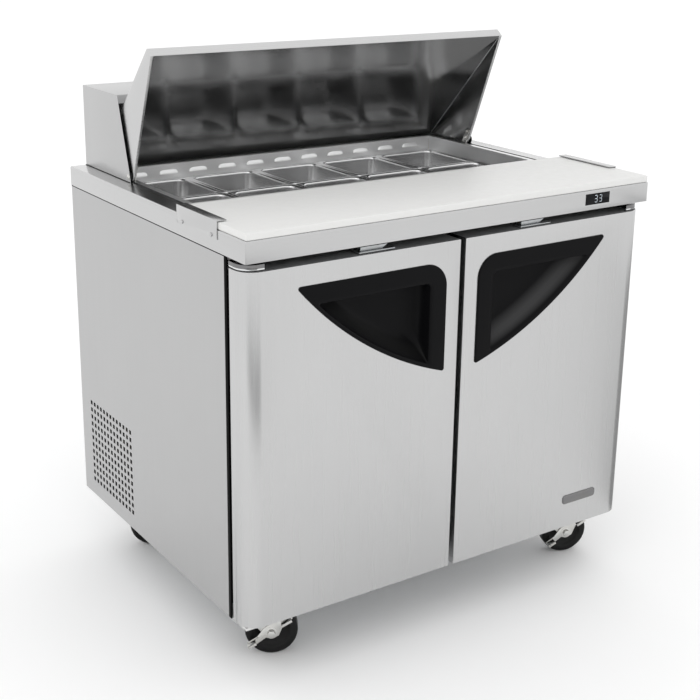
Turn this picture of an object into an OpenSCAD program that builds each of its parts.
// Sandwich prep table: a two-door refrigerated cabinet on four swivel casters, with a recessed
// well of ten pans under a rotating hood, a full-width cutting board and a rear hood box.
// X points right, the doors face -Y, Z points up. The origin is on the floor, at the centre
// of the footprint.

/* [Overall] */
// Width of the worktop
worktop_w = 924; // [920:1:940]
// Depth of the worktop, from the nose to the back edge
worktop_d = 730; // [725:1:760]
// Height of the worktop above the floor
work_h = 852; // [845:1:870]
// Height of the worktop's folded edge
worktop_t = 39; // [36:1:42]

/* [Cabinet] */
// Thickness of the sheet steel
sheet = 1.2; // [0.8:0.1:1.5]
// Thickness of the insulated side and back walls
wall_t = 45; // [40:1:48]
// Height of the machine compartment at the rear of the cabinet
machine_h = 234; // [220:1:250]
// Depth of the machine compartment
machine_d = 263; // [240:1:270]

/* [Doors] */
// Thickness of a door without its gasket
door_t = 49.5; // [45:0.5:50]
// Gap between the two doors
door_gap = 12; // [8:1:14]
// Radius of the rounded vertical corner on the hinge side
door_r = 34; // [20:1:36]
// Largest opening angle of a door
door_swing = 110; // [90:1:115]

/* [Hood] */
// Height of the fixed box behind the hood
box_h = 165; // [160:1:175]
// Angle of the open hood, from its closed position
hood_open = 68.9; // [60:0.1:69]
// Thickness of the insulated hood panel
hood_t = 20; // [16:1:22]

/* [Pans] */
// Width of one pan's rim
pan_w = 161; // [158:0.5:161]
// Length of one pan's rim, front to back
pan_l = 173.5; // [172:0.5:174]
// Depth of a pan
pan_depth = 100; // [65:1:102]
// How far the pan rims sit below the worktop
pan_recess = 32; // [28:1:36]

/* [Cutting board] */
// Depth of the cutting board, front to back
board_d = 243; // [230:1:245]
// Thickness of the cutting board
board_t = 12.7; // [10:0.1:13]

/* [Casters] */
// Overall height of a caster
caster_h = 130; // [128:1:135]
// Diameter of a caster wheel
wheel_d = 101.6; // [98:0.1:102]
// Offset of the wheel's axle from the swivel axis
caster_trail = 35; // [30:1:38]

/* [Hidden] */
$fn = 64;

steel = "silver";
dark_steel = "dimgray";
black = [0.09, 0.09, 0.1];

// outline of the cabinet
front = -worktop_d / 2;
back = worktop_d / 2;
half_w = worktop_w / 2;
cab_half = half_w - 1;
in_half = cab_half - sheet;
cab_bottom = caster_h;
cab_top = work_h - worktop_t;
cab_front = front + 65.5;
cab_back = back - 2;
base_t = 2;

// inner liner, machine compartment and well
liner_t = 1;
liner_half = cab_half - wall_t;
liner_bottom = cab_bottom + wall_t;
liner_back = cab_back - wall_t;
frame_t = 2;
machine_front = cab_back - machine_d;
machine_top = cab_bottom + machine_h;
machine_wall = 42;
step_y = machine_front - machine_wall;
step_z = machine_top + 40;
mullion_half = 20;
mullion_d = 35;

pan_pitch = pan_w + 1;
pan_cols = 5;
pan_rim_z = work_h - pan_recess;
pan_rim_t = 2;
well_half = pan_cols * pan_pitch / 2 + 0.5;
well_l = 353;
well_back = front + 645.5;
well_front = well_back - well_l;
well_floor = pan_rim_z - pan_depth - 14;
well_sheet = 1;
liner_top = well_floor - 2;

opening_side = 11;
opening_top = liner_top - 9;
opening_bottom = liner_bottom + 11;

// doors
door_front = front + 8;
door_back = door_front + door_t;
door_top = work_h - 57.7;
door_bottom = cab_bottom + 1.2;
door_in = door_gap / 2;
gasket_t = cab_front - door_back - 0.5;
hinge_x = cab_half - 16;
hinge_y = door_front + 26;
pin_r = 5;
fit = 0.05;

// sail-shaped handle on the door, measured on the left door
handle_left = -349;
handle_right = -42;
handle_top = door_top - 42.5;
handle_low = door_top - 241;
handle_arc_r = 690;
handle_proud = 3;
handle_depth = 34;
grip_side = 32;
grip_top = 31;

// hood, hinged at the foot of the box's side walls
box_half = 427;
hood_half = 421;
pivot_y = front + 519;
pivot_z = work_h + 10.5;
pivot_r = 4;
box_top = work_h + box_h;
box_top_front = pivot_y + 43;
box_low_front = pivot_y - 6;
hood_slope = 22.3;
hood_nose = [-269.3, 11.8];
hood_len_out = 327;
hood_len_in = 340;
hood_edge = -7;
hood_sheet = 1.2;

// casters
plate_t = 3;
axle_r = 4;
wheel_half = 16;
fork_half = 20;
leg_t = 3;
caster_x = 376;
caster_front_y = front + 136;
caster_rear_y = back - 78;
axle_z = wheel_d / 2;
// place and swivel angle of each caster: front left, front right, rear left, rear right
casters = [
    [-caster_x, caster_front_y, -30],
    [caster_x, caster_front_y, -20],
    [-caster_x, caster_rear_y, -25],
    [caster_x, caster_rear_y, 200]
];
FL = 0;
FR = 1;
RL = 2;
RR = 3;
brake_tilt = 32;

// machinery
cond_x = -cab_half + 22;
cond_t = 40;
cond_y0 = machine_front + 14;
cond_y1 = cab_back - 32;
cond_z0 = cab_bottom + 16;
cond_z1 = machine_top - 16;
fan_y = (cond_y0 + cond_y1) / 2;
fan_z = (cond_z0 + cond_z1) / 2;
cond_fan_x = cond_x + cond_t + 22;
evap_y0 = liner_back - 92;
evap_y1 = liner_back - 3;
evap_z0 = liner_top - 168;
evap_z1 = liner_top - 12;
evap_half = 190;
evap_fan_y = evap_y0 - 16;
evap_fan_z = (evap_z0 + evap_z1) / 2;
shaft_r = 3;
motor_r = 30;

shelf_z = step_z + 26;
shelf_wire = 6;
shelf_y0 = cab_front + 46;
shelf_y1 = liner_back - 130;

// ---------- helpers ----------

// A box between its lowest and highest corners.
module block(lo, hi) {
    translate(lo) cube(hi - lo);
}

// A profile drawn in Y and Z, extruded from x0 to x1.
module along_x(x0, x1) {
    translate([x0, 0, 0]) rotate([90, 0, 90]) linear_extrude(x1 - x0) children();
}

// A profile drawn in X and Z, extruded from y0 to y1.
module along_y(y0, y1) {
    translate([0, y1, 0]) rotate([90, 0, 0]) linear_extrude(y1 - y0) children();
}

// A cylinder along X, with its middle line at the given point.
module rod_x(x0, x1, y, z, r) {
    translate([x0, y, z]) rotate([0, 90, 0]) cylinder(h = x1 - x0, r = r);
}

// A cylinder along Y, with its middle line at the given point.
module rod_y(y0, y1, x, z, r) {
    translate([x, y0, z]) rotate([-90, 0, 0]) cylinder(h = y1 - y0, r = r);
}

// A rectangle with four rounded corners, centred, of true arcs.
module rounded(w, l, r) {
    square([w - 2 * r, l], center = true);
    square([w, l - 2 * r], center = true);
    for (x = [-1, 1], y = [-1, 1]) {
        translate([x * (w / 2 - r), y * (l / 2 - r)]) circle(r);
    }
}

// Mirrors its children for the right-hand half; side is -1 for left and 1 for right.
module on_side(side) {
    mirror([side > 0 ? 1 : 0, 0, 0]) children();
}

// ---------- cabinet ----------

vent_cols = 13;
vent_rows = 12;
vent_pitch = 16.2;
vent_size = 9;

module vent_holes() {
    y0 = front + 482;
    z0 = cab_bottom + 38;
    for (i = [0:vent_cols - 1], j = [0:vent_rows - 1]) {
        translate([y0 + i * vent_pitch, z0 + j * vent_pitch]) square(vent_size, center = true);
    }
}

module side_panel(vented) {
    color(steel) along_x(-cab_half, -in_half) difference() {
        translate([cab_front, cab_bottom]) square([cab_back - cab_front, cab_top - cab_bottom]);
        if (vented) vent_holes();
    }
}

module side_panel_left() {
    side_panel(true);
}

module side_panel_right() {
    on_side(1) side_panel(false);
}

inlet_x = 385;
inlet_z = cab_bottom + 62;
inlet_w = 48;
inlet_h = 28;

module back_panel() {
    slot_w = 110;
    slot_h = 6;
    color(steel) along_y(cab_back - sheet, cab_back) difference() {
        translate([-in_half, cab_bottom]) square([2 * in_half, cab_top - cab_bottom]);
        for (x = [-300:150:150], i = [0:9]) {
            translate([x, cab_bottom + 34 + i * 18]) square([slot_w, slot_h]);
        }
        translate([inlet_x, inlet_z]) square([inlet_w, inlet_h], center = true);
    }
}

// Centres of the four bolts of one caster plate.
module at_caster_bolts() {
    for (x = [-34, 34], y = [-23, 23]) translate([x, y]) children();
}

bolt_r = 4;

module base_panel() {
    color(steel) translate([0, 0, cab_bottom]) linear_extrude(base_t) difference() {
        translate([-in_half, cab_front]) square([2 * in_half, cab_back - sheet - cab_front]);
        for (c = casters) translate([c[0], c[1]]) at_caster_bolts() circle(bolt_r + 0.2);
        for (x = [-180:60:240]) translate([x, machine_front + 30]) square([20, 150]);
    }
}

module front_frame() {
    open_w = liner_half - opening_side - mullion_half - 4;
    color(steel) {
        along_y(cab_front, cab_front + frame_t) difference() {
            translate([-in_half, cab_bottom + base_t])
                square([2 * in_half, cab_top - cab_bottom - base_t]);
            for (s = [-1, 1]) {
                translate([s * (mullion_half + 4 + open_w / 2), (opening_top + opening_bottom) / 2])
                    square([open_w, opening_top - opening_bottom], center = true);
            }
        }
        block([-mullion_half, cab_front + frame_t, liner_bottom + liner_t],
              [mullion_half, cab_front + frame_t + mullion_d, liner_top - liner_t]);
    }
}

// Outline of the cold space in Y and Z, with its step over the machine compartment, grown by t.
module cold_space(t, y0) {
    polygon([
        [y0, liner_bottom + liner_t - t],
        [step_y - liner_t + t, liner_bottom + liner_t - t],
        [step_y - liner_t + t, step_z + liner_t - t],
        [liner_back - liner_t + t, step_z + liner_t - t],
        [liner_back - liner_t + t, liner_top - liner_t + t],
        [y0, liner_top - liner_t + t]
    ]);
}

module inner_liner() {
    y0 = cab_front + frame_t;
    color(steel) difference() {
        along_x(-liner_half, liner_half) cold_space(liner_t, y0);
        along_x(-liner_half + liner_t, liner_half - liner_t) cold_space(0, y0 - 1);
        // air passage up to the well
        block([-300, well_back + 6, liner_top - 5], [300, liner_back - 6, liner_top + 5]);
    }
}

display_x = half_w - 138;
display_w = 64;
display_h = 22;
display_z = work_h - 18;

module insulation() {
    y0 = cab_front + frame_t;
    top = work_h - 1.6;
    color("khaki") difference() {
        union() {
            block([-in_half, y0, cab_bottom + base_t], [in_half, cab_back - sheet, cab_top]);
            block([-half_w + 2, front + 2, cab_top + 1.5], [half_w - 2, back - 2, top]);
            block([-in_half, y0, cab_top - 1], [in_half, cab_back - sheet, top - 1]);
        }
        along_x(-liner_half, liner_half) cold_space(liner_t, y0 - 1);
        block([-in_half - 1, machine_front, cab_bottom], [in_half + 1, cab_back, machine_top]);
        block([-well_half - well_sheet, well_front - well_sheet, liner_top - 1],
              [well_half + well_sheet, liner_back, work_h]);
        block([display_x - 36, front, display_z - 14], [display_x + 36, front + 32, work_h]);
    }
}

// ---------- worktop and well ----------

bracket_y0 = front + 93;
bracket_y1 = front + 241;
bracket_t = 1.5;
bracket_lip = 17.5;
bracket_low = work_h - 17;
bracket_top = work_h + board_t + 3.3;
screw_r = 2.5;

// Places of the two screws of one bracket.
module at_bracket_screws() {
    for (y = [bracket_y0 + 19.5, bracket_y1 - 21.5]) translate([0, y, work_h - 12]) children();
}

module worktop() {
    t = 1.5;
    gap = well_sheet + 0.3;
    color(steel) difference() {
        block([-half_w, front, cab_top], [half_w, back, work_h]);
        difference() {
            block([-half_w + t, front + t, cab_top - 1], [half_w - t, back - t, work_h - t]);
            block([-half_w, front, cab_top], [half_w, cab_front - 1, cab_top + t]);
        }
        block([-well_half - gap, well_front - gap, cab_top - 1],
              [well_half + gap, well_back + gap, work_h + 1]);
        block([display_x - display_w / 2, front - 1, display_z - display_h / 2],
              [display_x + display_w / 2, front + t + 1, display_z + display_h / 2]);
        for (s = [-1, 1]) on_side(s) {
            at_bracket_screws() rod_x(-half_w - 1, -half_w + t + 0.2, 0, 0, screw_r + 0.1);
        }
    }
}

ledge = 6;
ledge_z = pan_rim_z - 6;

module pan_well() {
    t = well_sheet;
    flange = 12;
    color(steel) {
        // walls at the front and the sides; the louvred panel closes the back
        difference() {
            block([-well_half - t, well_front - t, well_floor - t], [well_half + t, well_back, work_h]);
            block([-well_half, well_front, well_floor], [well_half, well_back + 1, work_h + 1]);
            for (x = [-340:85:340], y = [well_front + 60, well_front + 220]) {
                translate([x - 25, y, well_floor - 2]) cube([50, 8, 4]);
            }
        }
        // flange that lies on the worktop
        difference() {
            block([-well_half - flange, well_front - flange, work_h],
                  [well_half + flange, well_back + flange, work_h + t]);
            block([-well_half, well_front, work_h - 1], [well_half, well_back, work_h + 2]);
        }
        // ledge that carries the bars and the pan rims
        difference() {
            block([-well_half, well_front, ledge_z - 1.5], [well_half, well_back, ledge_z]);
            block([-well_half + ledge, well_front + ledge, ledge_z - 3],
                  [well_half - ledge, well_back - ledge, ledge_z + 1]);
        }
    }
}

louvre_count = 11;
louvre_pitch = 69.8;
louvre_w = 46;
louvre_h = 9;
louvre_out = 3;
louvre_z = work_h - 22;

// One louvre pressed out of the panel: a sheet that slopes out over its slot, closed at both ends.
module louvre() {
    t = 0.8;
    h = louvre_h;
    d = louvre_out;
    rotate([90, 0, 90]) {
        linear_extrude(louvre_w) polygon([
            [0.4, h], [0, h], [-d, 3.5], [-d, 0], [t - d, 0], [t - d, 3.2], [0, 7.6], [0.4, 7.6]
        ]);
        for (x = [0, louvre_w - t]) {
            translate([0, 0, x]) linear_extrude(t) polygon([[0.4, 0], [0.4, h], [0, h], [-d, 3.5], [-d, 0]]);
        }
    }
}

module louvre_panel() {
    t = 1;
    y0 = well_back + 0.1;
    color(steel) {
        along_y(y0, y0 + t) difference() {
            translate([-well_half + 0.3, well_floor + 1])
                square([2 * well_half - 0.6, work_h - well_floor - 1.3]);
            for (i = [0:louvre_count - 1]) {
                translate([(i - (louvre_count - 1) / 2) * louvre_pitch, louvre_z + 3.5])
                    square([louvre_w - 2, 7], center = true);
            }
        }
        for (i = [0:louvre_count - 1]) {
            translate([(i - (louvre_count - 1) / 2) * louvre_pitch - louvre_w / 2, y0, louvre_z]) louvre();
        }
    }
}

module divider_bars() {
    bar_w = 12;
    z1 = pan_rim_z - 0.4;
    color(steel) for (i = [-1.5:1:1.5]) {
        block([i * pan_pitch - bar_w / 2, well_front + 0.5, ledge_z],
              [i * pan_pitch + bar_w / 2, well_back - 0.5, z1]);
    }
}

// A pan with its rim at pan_rim_z; col counts from the left and row from the front.
module pan(col, row) {
    body_w = pan_w - 16;
    body_l = pan_l - 17;
    t = 1.2;
    x = (col - (pan_cols - 1) / 2) * pan_pitch;
    y = well_front + 1 + pan_l / 2 + row * (pan_l + 1);
    color(steel) translate([x, y, pan_rim_z]) {
        linear_extrude(pan_rim_t) difference() {
            rounded(pan_w, pan_l, 10);
            rounded(body_w - 2 * t, body_l - 2 * t, 18);
        }
        translate([0, 0, -pan_depth]) difference() {
            linear_extrude(pan_depth) rounded(body_w, body_l, 19);
            translate([0, 0, t]) linear_extrude(pan_depth) rounded(body_w - 2 * t, body_l - 2 * t, 18);
        }
    }
}

module pan_front_1() { pan(0, 0); }
module pan_front_2() { pan(1, 0); }
module pan_front_3() { pan(2, 0); }
module pan_front_4() { pan(3, 0); }
module pan_front_5() { pan(4, 0); }
module pan_rear_1() { pan(0, 1); }
module pan_rear_2() { pan(1, 1); }
module pan_rear_3() { pan(2, 1); }
module pan_rear_4() { pan(3, 1); }
module pan_rear_5() { pan(4, 1); }

module cutting_board() {
    w = 2 * half_w - 3;
    color("white") translate([0, front + board_d / 2, work_h + 0.1])
        linear_extrude(board_t) rounded(w, board_d, 4);
}

module board_brackets() {
    x0 = half_w + bracket_t;
    color(steel) for (s = [-1, 1]) on_side(s) {
        difference() {
            block([-x0, bracket_y0, bracket_low], [-half_w, bracket_y1, bracket_top]);
            at_bracket_screws() rod_x(-x0 - 1, -half_w + 1, 0, 0, screw_r + 0.1);
        }
        block([-x0, bracket_y0, bracket_top - bracket_t], [-half_w + bracket_lip, bracket_y1, bracket_top]);
        // hex screws into the worktop's edge
        at_bracket_screws() {
            rod_x(-x0, -half_w + bracket_t, 0, 0, screw_r);
            rod_x(-x0 - 2.2, -x0, 0, 0, 4, $fn = 6);
        }
    }
}

module display_unit() {
    color(black) block([display_x - display_w / 2 + 0.2, front, display_z - display_h / 2 + 0.2],
                       [display_x + display_w / 2 - 0.2, front + 25, display_z + display_h / 2 - 0.2]);
}

// ---------- rear box and hood ----------

module hood_box() {
    color(steel) {
        for (s = [-1, 1]) on_side(s) {
            along_x(-box_half, -box_half + sheet) polygon([
                [box_low_front, work_h], [back - 2, work_h], [back - 2, box_top],
                [box_top_front, box_top], [box_low_front, work_h + 7]
            ]);
            rod_x(-box_half, -hood_half + 6, pivot_y, pivot_z, pivot_r);
        }
        along_x(-box_half, box_half) {
            translate([box_top_front, box_top - sheet]) square([back - 2 - box_top_front, sheet]);
            translate([back - 2 - sheet, work_h]) square([sheet, box_h]);
            translate([box_top_front, box_top - 17]) square([sheet, 17]);
        }
    }
}

// A point of the closed hood's section, a along the panel from the nose and b into its thickness.
function hood_pt(a, b) = [
    hood_nose[0] + a * cos(hood_slope) + b * sin(hood_slope),
    hood_nose[1] + a * sin(hood_slope) - b * cos(hood_slope)
];

// Puts a closed-hood section, drawn from the pivot, in place with the hood open.
module hood_place() {
    translate([0, pivot_y, pivot_z]) rotate([-hood_open, 0, 0]) children();
}

// Outline of the hood's side, with its free edge just above the worktop when closed; inset is
// how far the lip's end is set back.
module hood_side(b0, inset) {
    polygon([
        hood_pt(inset, b0), hood_pt(hood_len_out + b0 * 0.65, b0), hood_pt(hood_len_in, hood_t),
        [8.4, -3.4], [0, hood_edge], [hood_pt(inset - 2, hood_t)[0], hood_edge]
    ]);
}

module hood_shell() {
    t = hood_sheet;
    color(steel) hood_place() {
        along_x(-hood_half, hood_half) {
            polygon([hood_pt(0, 0), hood_pt(hood_len_out, 0), hood_pt(hood_len_out, t), hood_pt(0, t)]);
            polygon([hood_pt(0, 0), hood_pt(t, 0), hood_pt(t - 2, hood_t), hood_pt(-2, hood_t)]);
        }
        for (s = [-1, 1]) on_side(s) along_x(-hood_half, -hood_half + t) difference() {
            union() {
                hood_side(0, 0);
                circle(9);
            }
            circle(pivot_r + fit);
        }
    }
}

// Distances from the hood's outside to its foam and to its lining.
foam_in = hood_sheet + 0.1;
lining_t = 1;
cheek_t = 6;

module hood_foam() {
    x = hood_half - foam_in;
    b = hood_t - lining_t - 0.1;
    color("khaki") hood_place() {
        along_x(-x, x) polygon([
            hood_pt(foam_in, foam_in), hood_pt(hood_len_out, foam_in),
            hood_pt(hood_len_in - 1, b), hood_pt(foam_in - 1.9, b)
        ]);
        for (s = [-1, 1]) on_side(s) along_x(-x, -hood_half + cheek_t - lining_t - 0.1) difference() {
            hood_side(b, foam_in);
            circle(12);
        }
    }
}

module hood_lining() {
    x = hood_half - cheek_t;
    color(dark_steel) hood_place() {
        along_x(-x, x) polygon([
            hood_pt(foam_in - 1.9, hood_t - lining_t), hood_pt(hood_len_in - 1, hood_t - lining_t),
            hood_pt(hood_len_in, hood_t), hood_pt(foam_in - 2, hood_t)
        ]);
        for (s = [-1, 1]) on_side(s) along_x(-x - lining_t, -x) difference() {
            hood_side(hood_t - lining_t, foam_in);
            circle(12);
        }
    }
}

// ---------- doors, drawn for the left side ----------

door_out = -cab_half;

// Plan of a door, shrunk by t all round, with a rounded corner on the hinge side.
module door_plan(t) {
    r = door_r - t;
    x0 = door_out + t;
    x1 = -door_in - t;
    y0 = door_front + t;
    y1 = door_back - t;
    difference() {
        translate([x0, y0]) square([x1 - x0, y1 - y0]);
        translate([x0 - 1, y0 - 1]) square([r + 1, r + 1]);
    }
    intersection() {
        translate([x0 + r, y0 + r]) circle(r);
        translate([x0, y0]) square([r, r]);
    }
}

// Outline of the handle on the door's front, grown by g.
module handle_outline(g) {
    tip = [handle_left, handle_top];
    low = [handle_right - 3, handle_low];
    chord = low - tip;
    len = norm(chord);
    away = [-chord[1], chord[0]] / len;
    middle = (tip + low) / 2 + away * sqrt(handle_arc_r * handle_arc_r - len * len / 4);
    corner_r = 40;
    intersection() {
        translate(middle) circle(handle_arc_r + g, $fn = 360);
        union() {
            difference() {
                translate([handle_left - 20, handle_low - 20])
                    square([handle_right + g - handle_left + 20, handle_top + g - handle_low + 20]);
                translate([handle_right + g - corner_r, handle_top + g - corner_r])
                    square(corner_r + 1);
            }
            translate([handle_right + g - corner_r, handle_top + g - corner_r]) circle(corner_r);
        }
    }
}

module door_bores(z0, z1, r) {
    translate([-hinge_x, hinge_y, z0]) cylinder(h = z1 - z0, r = r);
}

module door_shell() {
    t = sheet;
    color(steel) difference() {
        translate([0, 0, door_bottom]) linear_extrude(door_top - door_bottom) door_plan(0);
        translate([0, 0, door_bottom + t]) linear_extrude(door_top - door_bottom - 2 * t) door_plan(t);
        // open back, closed by the door's liner
        block([door_out + 12, door_back - t - 1, door_bottom + 12],
              [-door_in - 12, door_back + 1, door_top - 12]);
        along_y(door_front - 1, door_front + t + 1) handle_outline(-1.5);
        door_bores(door_bottom - 1, door_top + 1, pin_r + fit);
    }
}

module door_foam() {
    t = sheet + 0.1;
    color("khaki") difference() {
        translate([0, 0, door_bottom + t]) linear_extrude(door_top - door_bottom - 2 * t) door_plan(t);
        along_y(door_front, door_front + handle_depth + 1) handle_outline(0.5);
        door_bores(door_bottom, door_bottom + 30, pin_r + 1);
        door_bores(door_top - 30, door_top, pin_r + 1);
    }
}

module door_liner() {
    color("gainsboro") block([door_out + 12.2, door_back - sheet, door_bottom + 12.2],
                             [-door_in - 12.2, door_back, door_top - 12.2]);
}

module door_gasket() {
    w = 16;
    x0 = -hinge_x + 2;
    x1 = -door_in - 4;
    color("dimgray") along_y(door_back + 0.1, door_back + gasket_t) difference() {
        translate([x0, opening_bottom - 24])
            square([x1 - x0, opening_top - opening_bottom + 48]);
        translate([x0 + w, opening_bottom - 24 + w])
            square([x1 - x0 - 2 * w, opening_top - opening_bottom + 48 - 2 * w]);
    }
}

module door_handle() {
    wall = 2.5;
    rim = 5;
    color(black) difference() {
        union() {
            along_y(door_front - handle_proud, door_front - 0.05) handle_outline(rim);
            along_y(door_front - 0.1, door_front + handle_depth) handle_outline(-2);
        }
        // pocket for the fingers, with a wide grip flange above and at the side
        along_y(door_front - handle_proud - 1, door_front + handle_depth - wall) intersection() {
            handle_outline(-2 - wall);
            translate([handle_left - 30, handle_low - 30])
                square([handle_right - grip_side - handle_left + 30, handle_top - grip_top - handle_low + 30]);
        }
    }
}

module door_shell_left() { door_shell(); }
module door_foam_left() { door_foam(); }
module door_liner_left() { door_liner(); }
module door_gasket_left() { door_gasket(); }
module door_handle_left() { door_handle(); }
module door_shell_right() { on_side(1) door_shell(); }
module door_foam_right() { on_side(1) door_foam(); }
module door_liner_right() { on_side(1) door_liner(); }
module door_gasket_right() { on_side(1) door_gasket(); }
module door_handle_right() { on_side(1) door_handle(); }

module hinge_plan() {
    r = 30;
    difference() {
        translate([door_out + 1, door_front + 4]) square([42, cab_front - door_front - 4]);
        translate([door_out, door_front + 3]) square(r + 1);
    }
    intersection() {
        translate([door_out + 1 + r, door_front + 4 + r]) circle(r);
        translate([door_out + 1, door_front + 4]) square(r);
    }
}

module hinge_brackets() {
    pin_in = 12;
    color("lightgray") for (s = [-1, 1]) on_side(s) {
        // top bracket, screwed to the frame, with its pin down into the door
        translate([0, 0, door_top + 2]) linear_extrude(10) hinge_plan();
        block([door_out + 4, cab_front - 2, door_top + 2], [door_out + 40, cab_front, cab_top - 1]);
        translate([-hinge_x, hinge_y, door_top - pin_in]) cylinder(h = pin_in + 3, r = pin_r);
        // bottom bracket, screwed under the base, with its pin up into the door
        block([door_out + 6, hinge_y - 12, cab_bottom - 6], [door_out + 40, cab_front + 34, cab_bottom]);
        translate([-hinge_x, hinge_y, cab_bottom - 6]) cylinder(h = pin_in + 7, r = pin_r);
    }
}

// ---------- inside the cabinet ----------

module shelf() {
    wires = 15;
    x0 = -liner_half + 7;
    x1 = -3;
    w = x1 - x0;
    l = shelf_y1 - shelf_y0;
    r = shelf_wire / 2;
    thin = 2;
    color("white") {
        difference() {
            translate([x0 + w / 2, shelf_y0 + l / 2, shelf_z]) linear_extrude(shelf_wire) rounded(w, l, 12);
            translate([x0 + w / 2, shelf_y0 + l / 2, shelf_z - 1])
                linear_extrude(shelf_wire + 2) rounded(w - 2 * shelf_wire, l - 2 * shelf_wire, 8);
        }
        for (i = [1:wires]) {
            rod_y(shelf_y0 + r, shelf_y1 - r, x0 + i * w / (wires + 1), shelf_z + r + 1, thin, $fn = 8);
        }
        for (i = [1:3]) {
            rod_x(x0 + r, x1 - r, shelf_y0 + i * l / 4, shelf_z + r - 1, thin, $fn = 8);
        }
    }
}

module shelf_left() { shelf(); }
module shelf_right() { on_side(1) shelf(); }

// A slotted upright with its back at x0 and its clip under the shelf.
module upright(x0, y, z0, dir) {
    slots = 14;
    t = 3;
    w = 18;
    pitch = (liner_top - 30 - z0) / slots;
    difference() {
        block([min(x0, x0 + dir * t), y - w / 2, z0], [max(x0, x0 + dir * t), y + w / 2, liner_top - 20]);
        for (i = [0:slots - 1]) {
            block([x0 - 4, y - 3, z0 + 10 + i * pitch], [x0 + 4, y + 3, z0 + 14 + i * pitch]);
        }
    }
    block([min(x0 + dir * t, x0 + dir * 16), y - 8, shelf_z - 6],
          [max(x0 + dir * t, x0 + dir * 16), y + 8, shelf_z - 0.2]);
}

module shelf_supports() {
    wall_x = liner_half - liner_t;
    color("lightgray") {
        for (s = [-1, 1], y = [shelf_y0 + 50, shelf_y1 - 40]) {
            upright(s * wall_x, y, y > step_y ? step_z + 8 : liner_bottom + 30, -s);
        }
        // centre supports behind the mullion and on the step
        block([-14, cab_front + frame_t + mullion_d, liner_bottom + 30],
              [14, cab_front + frame_t + mullion_d + 3, liner_top - 20]);
        block([-14, cab_front + frame_t + mullion_d + 3, shelf_z - 6], [14, shelf_y0 + 18, shelf_z - 0.2]);
        block([-14, shelf_y1 - 14, step_z + liner_t], [14, shelf_y1 - 4, shelf_z - 0.2]);
    }
}

module evaporator() {
    color("lightgray") {
        difference() {
            block([-evap_half, evap_y0, evap_z0], [evap_half, evap_y1, evap_z1]);
            block([-evap_half + 2, evap_y0 + 2, evap_z0 - 1], [evap_half - 2, evap_y1 + 1, evap_z1 + 1]);
            rod_y(evap_y0 - 1, evap_y0 + 3, 0, evap_fan_z, 62);
        }
        // hangers up to the liner
        for (x = [-evap_half, evap_half - 20]) {
            block([x, evap_y0, evap_z1 - 1], [x + 20, evap_y0 + 2, liner_top - liner_t]);
        }
        for (i = [0:22]) {
            x = -evap_half + 18 + i * 16;
            block([x, evap_y0 + 40, evap_z0 + 12], [x + 1, evap_y1 - 4, evap_z1 - 12]);
        }
        for (i = [0:4], y = [evap_y0 + 52, evap_y0 + 72]) {
            rod_x(-evap_half + 1, evap_half - 1, y, evap_z0 + 24 + i * 26, 4);
        }
    }
}

module condenser() {
    x1 = cond_x + cond_t;
    color(dark_steel) {
        for (i = [0:17]) {
            z = cond_z0 + 8 + i * (cond_z1 - cond_z0 - 17) / 17;
            block([cond_x, cond_y0 + 1, z], [x1, cond_y1 - 1, z + 1]);
        }
        for (i = [0:6], x = [cond_x + 11, cond_x + 29]) {
            translate([x, cond_y0 + 18 + i * (cond_y1 - cond_y0 - 36) / 6, cond_z0 + 1])
                cylinder(h = cond_z1 - cond_z0 - 2, r = 4);
        }
        for (z = [cond_z0, cond_z1 - 2]) {
            block([cond_x, cond_y0, z], [x1 + 2, cond_y1, z + 2]);
        }
        // shroud plate with the fan's opening
        along_x(x1, x1 + 2) difference() {
            translate([cond_y0, cond_z0]) square([cond_y1 - cond_y0, cond_z1 - cond_z0]);
            translate([fan_y, fan_z]) circle(92);
        }
        // feet that stand the coil on the base
        for (y = [cond_y0 + 8, cond_y1 - 20]) {
            block([cond_x, y, cab_bottom + base_t], [x1, y + 12, cond_z0]);
        }
    }
}

module fan_blades(r, depth, hub_r, blades) {
    difference() {
        union() {
            cylinder(h = depth, r = hub_r, center = true);
            intersection() {
                for (i = [0:blades - 1]) rotate([0, 0, i * 360 / blades])
                    translate([r / 2, 0, 0]) rotate([28, 0, 0]) cube([r, 0.62 * r, 1.6], center = true);
                difference() {
                    cylinder(h = depth, r = r, center = true);
                    cylinder(h = depth + 1, r = hub_r - 2, center = true);
                }
            }
        }
        cylinder(h = depth + 2, r = shaft_r + fit, center = true);
    }
}

module condenser_fan() {
    color(dark_steel) translate([cond_fan_x, fan_y, fan_z]) rotate([0, 90, 0]) fan_blades(85, 26, 18, 5);
}

module evaporator_fan() {
    color(dark_steel) translate([0, evap_fan_y, evap_fan_z]) rotate([90, 0, 0]) fan_blades(56, 20, 14, 5);
}

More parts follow.
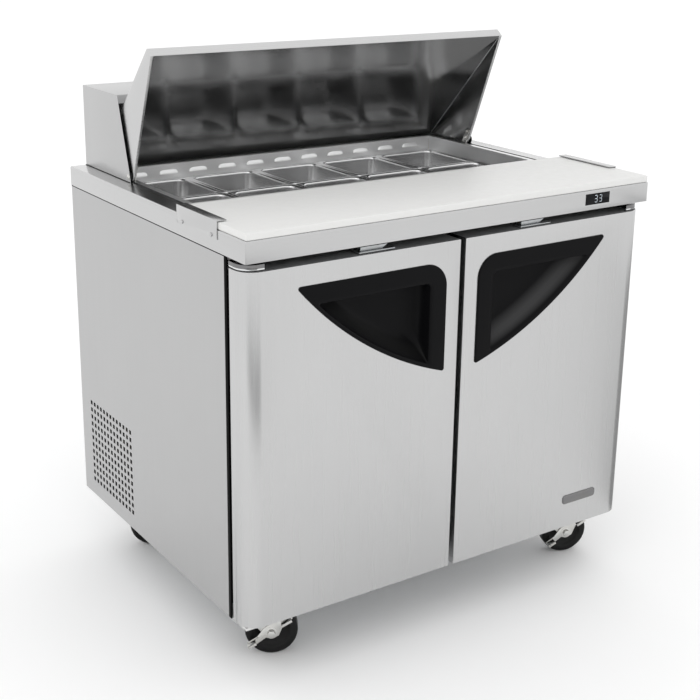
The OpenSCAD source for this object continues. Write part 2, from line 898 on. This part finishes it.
module fan_motors() {
    motor_l = 46;
    color("gray") {
        // condenser fan's motor, on a bracket from the shroud
        x0 = cond_fan_x + 18;
        rod_x(x0, x0 + motor_l, fan_y, fan_z, motor_r);
        rod_x(cond_fan_x - 15, x0, fan_y, fan_z, shaft_r);
        for (s = [-1, 1]) {
            block([x0 + 10, fan_y + s * 66 - 38, fan_z - 6], [x0 + 13, fan_y + s * 66 + 38, fan_z + 6]);
            y = fan_y + s * 101;
            block([cond_x + cond_t + 2, y - 3, fan_z - 6], [x0 + 13, y + 3, fan_z + 6]);
        }
        // evaporator fan's motor, on a bracket from the coil's case
        y1 = evap_fan_y - 14;
        rod_y(y1 - motor_l, y1, 0, evap_fan_z, motor_r);
        rod_y(y1, evap_fan_y + 11, 0, evap_fan_z, shaft_r);
        for (s = [-1, 1]) {
            block([s * 54 - 28, y1 - 13, evap_fan_z - 6], [s * 54 + 28, y1 - 10, evap_fan_z + 6]);
            block([s * 80 - 3, y1 - 13, evap_fan_z - 6], [s * 80 + 3, evap_y0, evap_fan_z + 6]);
        }
    }
}

comp_x = 20;
comp_y = (machine_front + cab_back) / 2 + 4;

module compressor() {
    r = 66;
    h = 150;
    foot_z = cab_bottom + base_t;
    color(black) translate([comp_x, comp_y, foot_z]) {
        // welded dome
        translate([0, 0, 14]) rotate_extrude() union() {
            square([r, h - 40]);
            translate([0, h - 40]) intersection() {
                translate([r - 40, 0]) circle(40);
                translate([r - 40, 0]) square(40);
            }
            translate([0, h - 41]) square([r - 39.9, 41]);
        }
        // foot plate on four grommets
        translate([0, 0, 10]) linear_extrude(4) rounded(180, 120, 12);
        for (x = [-76, 76], y = [-46, 46]) translate([x, y, 0]) cylinder(h = 10, r = 11);
        // terminal box and the stubs of the gas pipes
        block([r - 6, -28, 50], [r + 26, 28, 110]);
        for (y = [-30, 0, 30]) translate([-r - 6, y, 90]) cylinder(h = 60, r = 4);
        for (y = [-30, 0, 30]) rod_x(-r - 6, -40, y, 94, 4);
    }
    // controller box and drain pan beside it
    color("gray") difference() {
        block([210, machine_front + 30, foot_z], [330, machine_front + 150, foot_z + 90]);
        block([212, machine_front + 32, foot_z + 2], [328, machine_front + 148, foot_z + 88]);
    }
    color(black) difference() {
        block([-250, machine_front + 24, foot_z], [-100, cab_back - 30, foot_z + 30]);
        block([-248, machine_front + 26, foot_z + 2], [-102, cab_back - 32, foot_z + 31]);
    }
}

module power_inlet() {
    y1 = cab_back - sheet - 0.2;
    w = inlet_w - 1;
    h = inlet_h - 1;
    color(black) difference() {
        union() {
            block([inlet_x - w / 2, y1 - 30, inlet_z - h / 2],
                  [inlet_x + w / 2, cab_back, inlet_z + h / 2]);
            block([inlet_x - w / 2 - 4, y1 - 4, inlet_z - h / 2 - 3],
                  [inlet_x + w / 2 + 4, y1, inlet_z + h / 2 + 3]);
        }
        // socket for the plug of the power cord
        block([inlet_x - 13, cab_back - 18, inlet_z - 9], [inlet_x + 13, cab_back + 1, inlet_z + 9]);
    }
}

// ---------- casters ----------

module at_caster(i) {
    translate([casters[i][0], casters[i][1], 0]) children();
}

module at_fork(i) {
    at_caster(i) rotate([0, 0, casters[i][2]]) children();
}

king_r = 6;
crown_z = caster_h - 22;
crown_t = 9;

module caster_plates() {
    color("silver") for (i = [FL:RR]) at_caster(i) {
        translate([0, 0, caster_h - plate_t]) linear_extrude(plate_t) difference() {
            rounded(95, 67, 8);
            at_caster_bolts() circle(bolt_r + 0.2);
        }
        translate([0, 0, caster_h - plate_t - 9]) cylinder(h = 9, r = 27);
        translate([0, 0, crown_z - 3]) cylinder(h = caster_h - plate_t - crown_z + 3, r = king_r);
        translate([0, 0, crown_z - 3.5]) cylinder(h = 3, r = king_r + 3);
        at_caster_bolts() translate([0, 0, caster_h - plate_t - 5]) {
            cylinder(h = 5, r = 7, $fn = 6);
            cylinder(h = 5 + plate_t + base_t, r = bolt_r);
        }
    }
}

// Side view of one fork leg, from the crown down to the axle.
module fork_leg() {
    difference() {
        union() {
            polygon([
                [-24, crown_z + 3], [26, crown_z + 3], [caster_trail + 13, axle_z + 4],
                [caster_trail + 8, axle_z - 10], [caster_trail - 10, axle_z - 8], [-20, crown_z - 18]
            ]);
            translate([caster_trail, axle_z]) circle(13);
        }
        translate([caster_trail, axle_z]) circle(axle_r);
    }
}

// Distance from the fork's middle to a bolt head: a brake lever sits under the near one in front.
function head_y(i, s) = fork_half + leg_t + (s < 0 && i <= FR ? lever_t + 0.6 : 0);

module caster_fork(i) {
    head_t = 6;
    color("silver") at_fork(i) {
        // crown with the raceway, round the king pin
        difference() {
            union() {
                translate([0, 0, crown_z]) linear_extrude(3)
                    translate([1, 0]) rounded(50, 2 * (fork_half + leg_t), 6);
                translate([0, 0, crown_z + 3]) cylinder(h = crown_t - 3, r = 25);
            }
            translate([0, 0, crown_z - 1]) cylinder(h = crown_t + 2, r = king_r + fit);
        }
        for (s = [-1, 1]) {
            along_y(min(s * fork_half, s * (fork_half + leg_t)), max(s * fork_half, s * (fork_half + leg_t)))
                fork_leg();
        }
        // axle bolt with its head and nut
        rod_y(-head_y(i, -1) - head_t, head_y(i, 1) + head_t, caster_trail, axle_z, axle_r);
        rod_y(-head_y(i, -1) - head_t, -head_y(i, -1), caster_trail, axle_z, 7.5, $fn = 6);
        rod_y(head_y(i, 1), head_y(i, 1) + head_t, caster_trail, axle_z, 7.5, $fn = 6);
    }
}

module caster_wheel(i) {
    r = wheel_d / 2;
    tread = 4;
    color(black) at_fork(i) translate([caster_trail, 0, axle_z]) rotate([90, 0, 0]) rotate_extrude()
        difference() {
            union() {
                translate([axle_r + fit, -wheel_half - 2.5]) square([10, 2 * wheel_half + 5]);
                translate([axle_r + 1, -5]) square([r - 14, 10]);
                translate([r - 14, -wheel_half]) square([14 - tread, 2 * wheel_half]);
                translate([r - tread - 1, -wheel_half + tread])
                    square([tread + 1, 2 * wheel_half - 2 * tread]);
                for (s = [-1, 1]) translate([r - tread, s * (wheel_half - tread)]) circle(tread);
            }
            translate([-1, -50]) square([axle_r + fit + 1, 100]);
        }
}

lever_y0 = fork_half + leg_t + 0.3;
lever_t = 2;

module brake_lever(i) {
    color("silver") at_fork(i) translate([caster_trail, 0, axle_z]) rotate([0, -brake_tilt, 0]) {
        // plate that turns about the axle bolt, outside the fork
        along_y(-lever_y0 - lever_t, -lever_y0) difference() {
            polygon([
                [-50, -2], [-35, -5], [-14, -3], [-6, -11], [8.5, -12.5], [27, 1], [50, 4],
                [50, 12], [33, 15], [15.5, 15], [1, 17], [-10, 15], [-27, 8], [-50, 7]
            ]);
            circle(axle_r + fit);
        }
        // pedals at its two ends
        block([-50, -lever_y0 - 15, 4.5], [-32, -lever_y0 - lever_t + 0.1, 6.5]);
        block([28, -lever_y0 - 15, 9.5], [50, -lever_y0 - lever_t + 0.1, 11.5]);
    }
}

module caster_fork_fl() { caster_fork(FL); }
module caster_fork_fr() { caster_fork(FR); }
module caster_fork_rl() { caster_fork(RL); }
module caster_fork_rr() { caster_fork(RR); }
module caster_wheel_fl() { caster_wheel(FL); }
module caster_wheel_fr() { caster_wheel(FR); }
module caster_wheel_rl() { caster_wheel(RL); }
module caster_wheel_rr() { caster_wheel(RR); }
module brake_lever_fl() { brake_lever(FL); }
module brake_lever_fr() { brake_lever(FR); }

// ---------- parts ----------

side_panel_left();
side_panel_right();
back_panel();
base_panel();
front_frame();
inner_liner();
insulation();
worktop();
pan_well();
louvre_panel();
hood_box();
divider_bars();
board_brackets();
display_unit();
compressor();
condenser();
evaporator();
fan_motors();
shelf_supports();
hinge_brackets();
power_inlet();
caster_plates();
door_shell_left();
door_foam_left();
door_liner_left();
door_gasket_left();
door_handle_left();
door_shell_right();
door_foam_right();
door_liner_right();
door_gasket_right();
door_handle_right();
hood_shell();
hood_foam();
hood_lining();
pan_front_1();
pan_front_2();
pan_front_3();
pan_front_4();
pan_front_5();
pan_rear_1();
pan_rear_2();
pan_rear_3();
pan_rear_4();
pan_rear_5();
cutting_board();
shelf_left();
shelf_right();
caster_fork_fl();
caster_fork_fr();
caster_fork_rl();
caster_fork_rr();
caster_wheel_fl();
caster_wheel_fr();
caster_wheel_rl();
caster_wheel_rr();
brake_lever_fl();
brake_lever_fr();
condenser_fan();
evaporator_fan();
